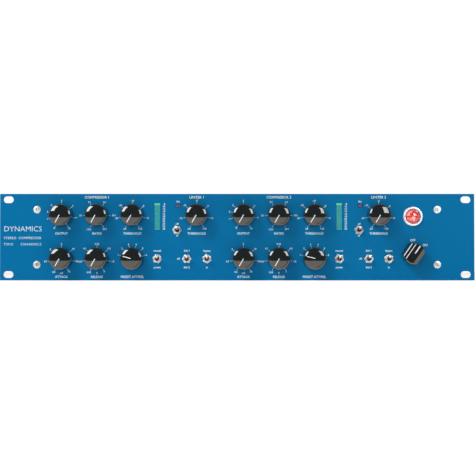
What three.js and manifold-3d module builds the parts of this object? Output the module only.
// Two-channel rack compressor and limiter, two rack units high, in millimetres with +Z up.
// The front panel faces -Y. The origin is under the middle of the unit: halfway across the panel,
// halfway between the tips of the knobs and the fuse cap, and level with the panel's lower edge.
// Everything is laid out in "unit" coordinates first: x from the panel's middle, y from the panel's
// front face towards the rear, z from the panel's lower edge. The last group moves it to the origin.
import * as THREE from 'three';
import { mergeVertices } from 'three/addons/utils/BufferGeometryUtils.js';
import Module from 'manifold-3d';

const wasm = await Module();
wasm.setup();

// ---------------------------------------------------------------- driving dimensions

const clearance = 0.3; // air between two pieces that meet

const panel = { width: 482.6, height: 88.1, thick: 3 };
const middle = panel.height / 2; // height of the panel's centre line
const rackSlot = { spanX: 465.1, spanZ: 76.2, width: 10.3, height: 6.8 };

// The control grid: two equal channels, knobs on two rows above and below the centre line.
const channelPitch = 185;
const firstColumn = -178.5;
const knobPitch = 36;
const rowOffset = 22;
const rows = { upper: middle + rowOffset, lower: middle - rowOffset };
const column = (channel, offset) => firstColumn + channelPitch * (channel - 1) + offset;

const limiterKnobOffset = 137.5;
const meter = { offset: 97.3, raise: 21, width: 5.7, height: 27.6, proud: 0.5 };
const limitLight = { offset: 118.5, raise: 32, width: 5, height: 2.5, proud: 0.6 };
const lamp = { x: 178.5, z: middle + 21 };
const powerKnobPlace = { x: 178.3, z: middle - 17.3 };
const panelScrewPlace = { x: 203.5, raise: 28 };

const knob = { radius: 12, height: 18.4, topRadius: 11.3, gap: 0.6, sides: 16 };
const knobCavity = { radius: 8.2, depth: 7, sides: 12 };
const spindle = { radius: 3, reach: 9.5, sides: 10 };
const bushing = { radius: 4.6, bore: 3.4, proud: 6, hole: 5.3, boreDepth: 10, sides: 8 };
const pot = { radius: 8, depth: 9, sides: 10 };

const toggle = { radius: 3.1, bore: 2.4, proud: 5, hole: 3.7, boreDepth: 2.5, sides: 8 };
const toggleCase = { width: 12.7, height: 11.4 };
const lever = { pivotDepth: 1.5, length: 12.6, tail: 4.5, tilt: 12.5, sides: 8 };

const sheet = 1.5; // tray and rear panel
const lid = 1.2;
const tray = { width: 430, depth: 200, height: 86.2, flange: 21, rearFlange: 15 };
const trayFront = panel.thick + clearance;
const trayRear = trayFront + tray.depth;
const trayTop = tray.height;
const floorTop = sheet;
const rearPanelFront = trayRear + clearance;
const rearFace = rearPanelFront + sheet;
const lidBottom = trayTop + clearance;

const board = { thick: 1.6, height: 72, frontGap: pot.depth };
const boardFront = panel.thick + 0.4 + board.frontGap;
const deck = { z: floorTop + 8, depth: 140, front: 32, width: 145 };
const fuseCap = { radius: 7, proud: 8 };

const knobTip = knob.gap + knob.height;
const rearTip = rearFace + clearance + fuseCap.proud;
const originDepth = (rearTip - knobTip) / 2;

// ---------------------------------------------------------------- materials

const finish = (color, roughness, metalness) =>
  new THREE.MeshStandardMaterial({ color, roughness, metalness });
const materials = {
  panelBlue: finish(0x006aa6, 0.45, 0.1),
  knobBlack: finish(0x0b0b0c, 0.12, 0),
  chrome: finish(0xd8dade, 0.15, 1),
  zincSteel: finish(0xb4b6b4, 0.4, 0.9),
  jewelRed: finish(0xd8201c, 0.1, 0),
  lightGreen: finish(0x3fb8a8, 0.35, 0),
  lightRed: finish(0xb04a5c, 0.3, 0),
  boardGreen: finish(0x1f5a36, 0.5, 0),
  glass: finish(0xcfd6d8, 0.05, 0),
  can: finish(0x8d9092, 0.35, 0.9),
  winding: finish(0x8a5a2c, 0.5, 0.1),
  plasticBlack: finish(0x151516, 0.4, 0),
  connector: finish(0x6f7275, 0.35, 0.8),
};

// ---------------------------------------------------------------- solids

// A three.js geometry as a manifold-3d solid, with the vertices of neighbouring faces merged.
function solid(geometry) {
  const loose = geometry.index ? geometry.toNonIndexed() : geometry.clone();
  const bare = new THREE.BufferGeometry();
  bare.setAttribute('position', loose.getAttribute('position'));
  const merged = mergeVertices(bare, 1e-3);
  return new wasm.Manifold(
    new wasm.Mesh({
      numProp: 3,
      vertProperties: new Float32Array(merged.attributes.position.array),
      triVerts: new Uint32Array(merged.index.array),
    }),
  );
}

function geometryOf(body) {
  const mesh = body.getMesh();
  const geometry = new THREE.BufferGeometry();
  geometry.setAttribute('position', new THREE.BufferAttribute(mesh.vertProperties, 3));
  geometry.setIndex(new THREE.BufferAttribute(mesh.triVerts, 1));
  return geometry;
}

function join(first, ...others) {
  return geometryOf(others.reduce((whole, other) => whole.add(solid(other)), solid(first)));
}

function cut(first, ...tools) {
  return geometryOf(tools.reduce((whole, tool) => whole.subtract(solid(tool)), solid(first)));
}

function common(first, second) {
  return geometryOf(solid(first).intersect(solid(second)));
}

// A box between two values on each axis.
function block([x0, x1], [y0, y1], [z0, z1]) {
  const box = new THREE.BoxGeometry(x1 - x0, y1 - y0, z1 - z0);
  return box.translate((x0 + x1) / 2, (y0 + y1) / 2, (z0 + z1) / 2);
}

const around = (centre, size) => [centre - size / 2, centre + size / 2];

// A round bar running from front to rear at a place on the panel.
function bar(radius, sides, [y0, y1], [x, z]) {
  return new THREE.CylinderGeometry(radius, radius, y1 - y0, sides).translate(x, (y0 + y1) / 2, z);
}

// A round bar standing upright at a place on the floor.
function post(radius, sides, [z0, z1], [x, y]) {
  const upright = new THREE.CylinderGeometry(radius, radius, z1 - z0, sides);
  return upright.rotateX(Math.PI / 2).translate(x, y, (z0 + z1) / 2);
}

// A turned solid from [radius, height] pairs. Its height runs towards the front of the unit.
function turnedForward(profile, sides) {
  const points = profile.map(([radius, height]) => new THREE.Vector2(radius, height));
  return new THREE.LatheGeometry(points, sides).rotateX(Math.PI);
}

// The same, standing upright.
function turnedUpright(profile, sides) {
  const points = profile.map(([radius, height]) => new THREE.Vector2(radius, height));
  return new THREE.LatheGeometry(points, sides).rotateX(Math.PI / 2);
}

const unit = new THREE.Group();

function add(name, geometry, material, [x, y, z] = [0, 0, 0]) {
  const mesh = new THREE.Mesh(geometry, material);
  mesh.name = name;
  mesh.position.set(x, y, z);
  unit.add(mesh);
  return mesh;
}

const channels = [1, 2];

// Where each channel's controls sit: [name, x, z, rest angle clockwise from the top].
const dials = (channel) => [
  ['output', column(channel, 0), rows.upper, -150],
  ['ratio', column(channel, knobPitch), rows.upper, -150],
  ['threshold', column(channel, 2 * knobPitch), rows.upper, -150],
  ['limit', column(channel, limiterKnobOffset), rows.upper, -150],
  ['attack', column(channel, 0), rows.lower, -150],
  ['release', column(channel, knobPitch), rows.lower, -150],
  ['preset', column(channel, 2 * knobPitch), rows.lower, -75],
];
const toggles = (channel) => [
  ['limit', column(channel, 117.5), middle - 14.8 + rowOffset],
  ['preset', column(channel, 97.3), rows.lower],
  ['link', column(channel, 127.4), rows.lower],
  ['bypass', column(channel, 147.8), rows.lower],
];
const powerRestAngle = 35;

// ---------------------------------------------------------------- front panel

// A rack slot is as tall as a screw needs and a little wider, with round ends.
function slotHole(x, z) {
  const radius = rackSlot.height / 2;
  const reach = rackSlot.width / 2 - radius;
  const hole = new THREE.Path();
  hole.absarc(x - reach, z, radius, Math.PI / 2, (3 * Math.PI) / 2);
  hole.absarc(x + reach, z, radius, -Math.PI / 2, Math.PI / 2);
  hole.closePath();
  return hole;
}

function boxHole(x, z, width, height) {
  const [x0, x1] = around(x, width);
  const [z0, z1] = around(z, height);
  return new THREE.Path([
    new THREE.Vector2(x0, z0),
    new THREE.Vector2(x0, z1),
    new THREE.Vector2(x1, z1),
    new THREE.Vector2(x1, z0),
  ]);
}

function roundHole(x, z, radius, sides) {
  const corner = (i) => (2 * Math.PI * i) / sides;
  const points = Array.from(
    { length: sides },
    (_, i) => new THREE.Vector2(x + radius * Math.cos(corner(i)), z + radius * Math.sin(corner(i))),
  );
  return new THREE.Path(points.reverse());
}

function plate(x0, x1, z0, z1, holes, [y0, y1]) {
  const outline = new THREE.Shape([
    new THREE.Vector2(x0, z0),
    new THREE.Vector2(x1, z0),
    new THREE.Vector2(x1, z1),
    new THREE.Vector2(x0, z1),
  ]);
  outline.holes = holes;
  const flat = new THREE.ExtrudeGeometry(outline, {
    depth: y1 - y0,
    bevelEnabled: false,
    curveSegments: 6,
  });
  return flat.rotateX(Math.PI / 2).translate(0, y1, 0);
}

const screwHead = { radius: 3.75, crown: 1, sink: 1.9, shank: 1.9, length: 12, hole: 2.3 };
const corners = [
  [-1, -1],
  [1, -1],
  [-1, 1],
  [1, 1],
];
const lampHole = 7.6;
const slack = 0.6; // how much wider than its piece a light's hole is

function frontPanel() {
  const holes = [roundHole(lamp.x, lamp.z, lampHole, 16)];
  holes.push(roundHole(powerKnobPlace.x, powerKnobPlace.z, bushing.hole, bushing.sides));
  for (const [sx, sz] of corners) {
    holes.push(slotHole((sx * rackSlot.spanX) / 2, middle + (sz * rackSlot.spanZ) / 2));
  }
  for (const channel of channels) {
    for (const [, x, z] of dials(channel)) holes.push(roundHole(x, z, bushing.hole, bushing.sides));
    for (const [, x, z] of toggles(channel)) holes.push(roundHole(x, z, toggle.hole, toggle.sides));
    const [meterX, meterZ] = [column(channel, meter.offset), middle + meter.raise];
    holes.push(boxHole(meterX, meterZ, meter.width + slack, meter.height + slack));
    const [lightX, lightZ] = [column(channel, limitLight.offset), middle + limitLight.raise];
    holes.push(boxHole(lightX, lightZ, limitLight.width + slack, limitLight.height + slack));
  }
  const edge = panel.width / 2;
  const flat = plate(-edge, edge, 0, panel.height, holes, [0, panel.thick]);
  // Each of the four panel screws sits in a countersunk hole.
  const sinks = corners.map(([sx, sz]) => {
    const wide = screwHead.radius + clearance;
    const narrow = screwHead.hole;
    const profile = [
      [0, -panel.thick - 1],
      [narrow, -panel.thick - 1],
      [narrow, -screwHead.sink],
      [wide, 0],
      [wide, 1],
      [0, 1],
    ];
    const tool = turnedForward(profile, 12);
    return tool.translate(sx * panelScrewPlace.x, 0, middle + sz * panelScrewPlace.raise);
  });
  return cut(flat, ...sinks);
}

// A raised countersunk machine screw that holds the panel to the tray's front flange.
function panelScrew() {
  const profile = [
    [0, -screwHead.length],
    [screwHead.shank, -screwHead.length],
    [screwHead.shank, -screwHead.sink],
    [screwHead.radius, 0],
    [screwHead.radius * 0.6, screwHead.crown * 0.7],
    [0, screwHead.crown],
  ];
  return turnedForward(profile, 12);
}

add('front_panel', frontPanel(), materials.panelBlue);
const screwNames = ['lower_left', 'lower_right', 'upper_left', 'upper_right'];
const screwShape = panelScrew();
corners.forEach(([sx, sz], i) => {
  const place = [sx * panelScrewPlace.x, 0, middle + sz * panelScrewPlace.raise];
  add(`panel_screw_${screwNames[i]}`, screwShape, materials.chrome, place);
});

// ---------------------------------------------------------------- knobs

// What every knob shares: a hollow underside, and a spindle in the middle of it that reaches through
// the bushing into the control behind the panel.
function onSpindle(body) {
  const cavity = bar(knobCavity.radius, knobCavity.sides, [-knobCavity.depth, 1], [0, 0]);
  const reach = [-knobCavity.depth - 1, knob.gap + spindle.reach];
  return join(cut(body, cavity), bar(spindle.radius, spindle.sides, reach, [0, 0]));
}

// A smooth domed knob, slightly tapered, with a groove for its white line pointing up (+Z).
function domedKnob() {
  const profile = [
    [0, 0],
    [knob.radius, 0],
    [knob.topRadius, 12.8],
    [8.8, 16.6],
    [0, knob.height],
  ];
  const groove = block([-0.55, 0.55], [-1.2, 1.2], [0.8, 10.6]);
  groove.rotateX(-0.25).translate(0, -knob.height - 0.6, 0);
  return onSpindle(cut(turnedForward(profile, knob.sides), groove));
}

// The mains knob: a low round skirt and a wide grip across it, with the line along the grip's top.
function barKnob() {
  const skirtHeight = 5;
  const rim = knob.radius - 0.4;
  const skirt = [
    [0, 0],
    [rim, 0],
    [rim, skirtHeight],
    [0, skirtHeight],
  ];
  const round = [
    [0, 1],
    [rim, 1],
    [rim - 1, knob.height],
    [0, knob.height],
  ];
  const ridge = new THREE.Shape([
    new THREE.Vector2(-9, -1),
    new THREE.Vector2(9, -1),
    new THREE.Vector2(6, knob.height + 1),
    new THREE.Vector2(-6, knob.height + 1),
  ]);
  const length = 2 * knob.radius;
  const grip = new THREE.ExtrudeGeometry(ridge, { depth: length, bevelEnabled: false });
  grip.translate(0, 0, -knob.radius).rotateX(Math.PI);
  const trimmed = common(grip, turnedForward(round, knob.sides));
  const groove = block([-0.55, 0.55], [-knob.height - 1, -knob.height + 0.6], [2, length]);
  return onSpindle(cut(join(turnedForward(skirt, knob.sides), trimmed), groove));
}

const knobShape = domedKnob();
for (const channel of channels) {
  for (const [name, x, z, angle] of dials(channel)) {
    const place = [x, -knob.gap, z];
    const placed = add(`${name}_knob_${channel}`, knobShape, materials.knobBlack, place);
    placed.rotation.y = THREE.MathUtils.degToRad(angle);
  }
}
const { x: powerX, z: powerZ } = powerKnobPlace;
const powerKnob = add('power_knob', barKnob(), materials.knobBlack, [powerX, -knob.gap, powerZ]);
powerKnob.rotation.y = THREE.MathUtils.degToRad(powerRestAngle);

// ---------------------------------------------------------------- toggle levers

// A bat-shaped lever on a ball, with a tail that works the contacts. It rests tilted up.
function batLever() {
  const profile = [
    [0, -lever.tail],
    [0.9, -lever.tail],
    [0.9, -1.5],
    [1.8, 0],
    [1.05, 1.6],
    [1.5, lever.length - 1.4],
    [1.05, lever.length - 0.4],
    [0, lever.length],
  ];
  return turnedForward(profile, lever.sides);
}

const leverShape = batLever();
const pivotY = -toggle.proud + lever.pivotDepth;
for (const channel of channels) {
  for (const [name, x, z] of toggles(channel)) {
    const placed = add(`${name}_lever_${channel}`, leverShape, materials.chrome, [x, pivotY, z]);
    placed.rotation.x = -THREE.MathUtils.degToRad(lever.tilt);
  }
}

// ---------------------------------------------------------------- controls behind the panel

const caseFront = panel.thick + 0.4;
const boardBack = boardFront + board.thick;

// A channel's upright circuit board, with the cases and bushings of its seven rotary controls and
// its four toggle switches soldered to it.
function controlBoard(channel) {
  const [left, right] = [column(channel, -16.5), column(channel, 155.5)];
  const body = block([left, right], [boardFront, boardBack], around(middle, board.height));
  const cases = [];
  const bores = [];
  for (const [, x, z] of dials(channel)) {
    cases.push(bar(pot.radius, pot.sides, [caseFront, boardFront + 0.5], [x, z]));
    cases.push(bar(bushing.radius, bushing.sides, [-bushing.proud, caseFront + 1], [x, z]));
    bores.push(bar(bushing.bore, bushing.sides, [-bushing.proud - 1, bushing.boreDepth], [x, z]));
  }
  for (const [, x, z] of toggles(channel)) {
    const depth = [caseFront, boardFront + 0.5];
    cases.push(block(around(x, toggleCase.width), depth, around(z, toggleCase.height)));
    cases.push(bar(toggle.radius, toggle.sides, [-toggle.proud, caseFront + 1], [x, z]));
    bores.push(bar(toggle.bore, toggle.sides, [-toggle.proud - 1, toggle.boreDepth], [x, z]));
  }
  return cut(join(body, ...cases), ...bores);
}

// The mains switch is a block of its own, because it carries mains voltage.
function powerSwitch() {
  const size = 28;
  const place = [powerX, powerZ];
  const body = block(around(powerX, size), [caseFront, caseFront + 26], around(powerZ, size));
  const neck = bar(bushing.radius, bushing.sides, [-bushing.proud, caseFront + 1], place);
  const bore = bar(bushing.bore, bushing.sides, [-bushing.proud - 1, bushing.boreDepth], place);
  return cut(join(body, neck), bore);
}

for (const channel of channels) {
  add(`control_board_${channel}`, controlBoard(channel), materials.boardGreen);
  const lightDepth = (proud) => [-proud, boardFront - clearance];
  const meterBody = block(
    around(column(channel, meter.offset), meter.width),
    lightDepth(meter.proud),
    around(middle + meter.raise, meter.height),
  );
  add(`gain_meter_${channel}`, meterBody, materials.lightGreen);
  const lightBody = block(
    around(column(channel, limitLight.offset), limitLight.width),
    lightDepth(limitLight.proud),
    around(middle + limitLight.raise, limitLight.height),
  );
  add(`limit_light_${channel}`, lightBody, materials.lightRed);
}
add('power_switch', powerSwitch(), materials.plasticBlack);

// ---------------------------------------------------------------- mains lamp

const lampSides = 16;
const bezel = { radius: 9.9, front: 3.6, seat: 8, sleeve: 7.2, bore: 6.4, back: 10 };

// A turned ring on the panel's face, whose threaded sleeve passes through to the holder.
function lampBezel() {
  const profile = [
    [bezel.bore, -bezel.back],
    [bezel.sleeve, -bezel.back],
    [bezel.sleeve, clearance],
    [bezel.radius, clearance],
    [bezel.radius, 1.6],
    [bezel.radius - 0.9, bezel.front],
    [bezel.seat, bezel.front],
    [bezel.seat, 2],
    [bezel.bore, 2],
    [bezel.bore, -bezel.back],
  ];
  return turnedForward(profile, lampSides);
}

// The faceted lens: a skirt inside the sleeve, a rim in the bezel's seat and a low faceted dome.
function lampJewel() {
  const rim = bezel.seat - clearance;
  const skirt = bezel.bore - clearance;
  const profile = [
    [0, 0.5],
    [skirt - 1.2, 0.5],
    [skirt - 1.2, -5],
    [skirt, -5],
    [skirt, 2 + clearance],
    [rim, 2 + clearance],
    [rim, bezel.front + 0.4],
    [rim * 0.72, bezel.front + 3.2],
    [rim * 0.36, bezel.front + 4.6],
    [0, bezel.front + 5],
  ];
  return turnedForward(profile, 12);
}

// The bulb and its holder, which screws onto the sleeve from behind.
function lampHolder() {
  const profile = [
    [0, -34],
    [7, -34],
    [9, -30],
    [9, -bezel.back - clearance],
    [3.8, -bezel.back - clearance],
    [3.8, -3],
    [0, -1],
  ];
  return turnedForward(profile, 12);
}

const lampPlace = [lamp.x, 0, lamp.z];
add('lamp_bezel', lampBezel(), materials.chrome, lampPlace);
add('lamp_jewel', lampJewel(), materials.jewelRed, lampPlace);
add('lamp_holder', lampHolder(), materials.plasticBlack, lampPlace);

// ---------------------------------------------------------------- case

const sideX = tray.width / 2;

// The folded tray: floor, two sides, and flanges turned in at the front and the rear.
function chassisTray() {
  const depth = [trayFront, trayRear];
  const height = [0, trayTop];
  const parts = [block([-sideX, sideX], depth, [0, floorTop])];
  for (const side of [-1, 1]) {
    const span = (inner) => [side * sideX, side * (sideX - inner)].sort((a, b) => a - b);
    parts.push(block(span(sheet), depth, height));
    parts.push(block(span(tray.flange), [trayFront, trayFront + sheet], height));
    parts.push(block(span(tray.rearFlange), [trayRear - sheet, trayRear], height));
  }
  const screwHoles = corners.map(([sx, sz]) => {
    const place = [sx * panelScrewPlace.x, middle + sz * panelScrewPlace.raise];
    return bar(screwHead.hole, 8, [trayFront - 1, trayFront + sheet + 1], place);
  });
  return cut(join(parts[0], ...parts.slice(1)), ...screwHoles);
}

// Vent slots above the valves of each channel and above the mains transformer.
const vents = { width: 3, length: 34, pitch: 8, count: 11, depth: 78 };
const ventCentres = [-135, 15, 155];

// The lid: a flat top with lips folded down outside the tray's sides.
function topCover() {
  const outer = sideX + clearance + lid;
  const lidTop = lidBottom + lid;
  const lip = 14;
  const parts = [block([-outer, outer], [trayFront, rearFace + clearance], [lidBottom, lidTop])];
  for (const side of [-1, 1]) {
    const span = [side * outer, side * (outer - lid)].sort((a, b) => a - b);
    parts.push(block(span, [trayFront + 3, trayRear - 2], [lidTop - lip, lidTop - 0.1]));
  }
  const slots = ventCentres.flatMap((centre) =>
    Array.from({ length: vents.count }, (_, i) => {
      const x = centre + vents.pitch * (i - (vents.count - 1) / 2);
      const through = [lidBottom - 1, lidTop + 1];
      return block(around(x, vents.width), around(vents.depth, vents.length), through);
    }),
  );
  return cut(join(parts[0], ...parts.slice(1)), ...slots);
}

const sockets = [
  ['input_socket_1', -165, 13],
  ['output_socket_1', -120, 15],
  ['input_socket_2', -15, 13],
  ['output_socket_2', 30, 15],
];
const socketRow = middle + 2;
const socket = { hole: 12, body: 11.6, mouth: 9.4, flangeWidth: 26, flangeHeight: 31, flange: 1.6 };
const inlet = { x: 178, z: middle - 8, width: 27, height: 20, flangeWidth: 50, flangeHeight: 24 };
const fuse = { x: 128, z: middle - 8, hole: 6.6, body: 6.2 };

function rearPanel() {
  const holes = sockets.map(([, x]) => roundHole(x, socketRow, socket.hole, 16));
  holes.push(boxHole(inlet.x, inlet.z, inlet.width + slack, inlet.height + slack));
  holes.push(roundHole(fuse.x, fuse.z, fuse.hole, 12));
  return plate(-sideX, sideX, 0, trayTop, holes, [rearPanelFront, rearFace]);
}

add('chassis_tray', chassisTray(), materials.zincSteel);
add('top_cover', topCover(), materials.zincSteel);
add('rear_panel', rearPanel(), materials.zincSteel);

// ---------------------------------------------------------------- rear connectors

const flangeFront = rearFace + clearance;

// A three-pole round connector: a flange outside the rear panel and a body through it, with a
// round mouth of its own depth.
function roundSocket(x, mouthDepth) {
  const place = [x, socketRow];
  const rear = flangeFront + socket.flange;
  const flange = block(
    around(x, socket.flangeWidth),
    [flangeFront, rear],
    around(socketRow, socket.flangeHeight),
  );
  const body = bar(socket.body, 16, [rear - 26, rear - 0.5], place);
  const mouth = bar(socket.mouth, 16, [rear - mouthDepth, rear + 1], place);
  return cut(join(flange, body), mouth);
}

for (const [name, x, mouthDepth] of sockets) {
  add(name, roundSocket(x, mouthDepth), materials.connector);
}

// The mains inlet, with the shrouded mouth that the mains lead plugs into.
function mainsInlet() {
  const rear = flangeFront + 2;
  const flange = block(
    around(inlet.x, inlet.flangeWidth),
    [flangeFront, rear],
    around(inlet.z, inlet.flangeHeight),
  );
  const body = block(
    around(inlet.x, inlet.width),
    [rear - 24, rear - 0.5],
    around(inlet.z, inlet.height),
  );
  const mouth = block(around(inlet.x, 24), [rear - 16, rear + 1], around(inlet.z, 16.4));
  return cut(join(flange, body), mouth);
}

function fuseHolder() {
  const rear = flangeFront + fuseCap.proud;
  const cap = bar(fuseCap.radius, 12, [flangeFront, rear], [fuse.x, fuse.z]);
  const body = bar(fuse.body, 12, [flangeFront - 32, flangeFront + 1], [fuse.x, fuse.z]);
  return join(cap, body);
}

add('mains_inlet', mainsInlet(), materials.plasticBlack);
add('fuse_holder', fuseHolder(), materials.plasticBlack);

// ---------------------------------------------------------------- audio boards and valves

const deckTop = deck.z + board.thick;
const valveBase = { radius: 11, height: 12, y: 62, spread: 26 };
const valve = { radius: 10.8, height: 49 };
const deckCentres = [-135, 15];

// A horizontal circuit board on four spacers, with two valve sockets and four capacitors.
function audioBoard(x) {
  const [front, back] = [deck.front, deck.front + deck.depth];
  const parts = [block(around(x, deck.width), [front, back], [deck.z, deckTop])];
  for (const [sx, sy] of corners) {
    const place = [x + sx * (deck.width / 2 - 8), (front + back) / 2 + sy * (deck.depth / 2 - 8)];
    parts.push(post(3, 6, [floorTop + clearance, deck.z + 0.5], place));
  }
  for (const side of [-1, 1]) {
    const place = [x + side * valveBase.spread, valveBase.y];
    const tall = [deckTop - 0.5, deckTop + valveBase.height];
    parts.push(post(valveBase.radius, 12, tall, place));
    parts.push(post(6.5, 8, [deckTop - 0.5, deckTop + 26], [x + side * 58, 104]));
    parts.push(post(5, 8, [deckTop - 0.5, deckTop + 20], [x + side * 9, 100]));
  }
  return join(parts[0], ...parts.slice(1));
}

// A nine-pin miniature valve: a straight glass tube, rounded over to a pip at the top.
function valveGlass() {
  const { radius, height } = valve;
  const profile = [
    [0, 0],
    [radius, 0],
    [radius, height - 9],
    [radius * 0.8, height - 4.5],
    [2.2, height - 3],
    [0, height],
  ];
  return turnedUpright(profile, 12);
}

// A signal transformer in a drawn metal can.
function inputCan() {
  const profile = [
    [0, 0],
    [17, 0],
    [17, 34],
    [15, 36],
    [0, 36],
  ];
  return turnedUpright(profile, 12);
}

// A larger signal transformer: a laminated core with its winding proud of it on two sides.
function outputCore() {
  const core = block([-21, 21], [-9, 9], [0, 36]);
  const winding = block([-13, 13], [-17, 17], [6, 30]);
  return join(core, winding);
}

const glassShape = valveGlass();
deckCentres.forEach((x, i) => {
  add(`audio_board_${i + 1}`, audioBoard(x), materials.boardGreen);
  const seat = deckTop + clearance;
  [-1, 1].forEach((side, j) => {
    const place = [x + side * valveBase.spread, valveBase.y, seat + valveBase.height];
    add(`valve_${2 * i + j + 1}`, glassShape, materials.glass, place);
  });
  add(`input_transformer_${i + 1}`, inputCan(), materials.can, [x - 44, 144, seat]);
  add(`output_transformer_${i + 1}`, outputCore(), materials.can, [x + 32, 146, seat]);
});

// ---------------------------------------------------------------- power supply

const toroid = { x: 155, y: 88, inner: 14, outer: 44, height: 38 };
const toroidFloor = floorTop + 1.2;

// The mains transformer: a ring-shaped winding wrapped in tape, with rounded edges.
function mainsTransformer() {
  const { inner, outer, height } = toroid;
  const round = 7;
  const profile = [
    [inner, 0],
    [outer - round, 0],
    [outer, round],
    [outer, height - round],
    [outer - round, height],
    [inner, height],
    [inner, 0],
  ];
  return turnedUpright(profile, 20);
}

// The dished washer over the winding, and the bolt through its middle.
function transformerClamp() {
  const top = toroid.height + clearance;
  const profile = [
    [0, clearance],
    [4, clearance],
    [4, top - 3],
    [9, top - 3],
    [13, top],
    [32, top],
    [32, top + 1.5],
    [12.4, top + 1.5],
    [8.4, top - 1.5],
    [5.5, top - 1.5],
    [5.5, top + 4],
    [0, top + 4],
  ];
  return turnedUpright(profile, 12);
}

// The supply board with its smoothing capacitors and a finned heat sink.
function powerBoard() {
  const [left, right] = [96, 208];
  const [front, back] = [136, 172];
  const parts = [block([left, right], [front, back], [deck.z, deckTop])];
  for (const x of [left + 6, right - 6]) {
    for (const y of [front + 6, back - 6]) {
      parts.push(post(3, 6, [floorTop + clearance, deck.z + 0.5], [x, y]));
    }
  }
  for (const x of [112, 133, 154]) {
    parts.push(post(9, 12, [deckTop - 0.5, deckTop + 38], [x, 150]));
  }
  parts.push(block([172, 202], [152, 155], [deckTop - 0.5, deckTop + 30]));
  for (const x of [173, 180, 187, 194, 201]) {
    parts.push(block(around(x, 1.6), [144, 153], [deckTop - 0.5, deckTop + 30]));
  }
  return join(parts[0], ...parts.slice(1));
}

const toroidPlace = [toroid.x, toroid.y, toroidFloor];
add('mains_transformer', mainsTransformer(), materials.winding, toroidPlace);
add('transformer_clamp', transformerClamp(), materials.zincSteel, toroidPlace);
add('power_board', powerBoard(), materials.boardGreen);

// ---------------------------------------------------------------- the whole unit

const compressor = new THREE.Group();
unit.position.y = -originDepth;
compressor.add(unit);

export default compressor;
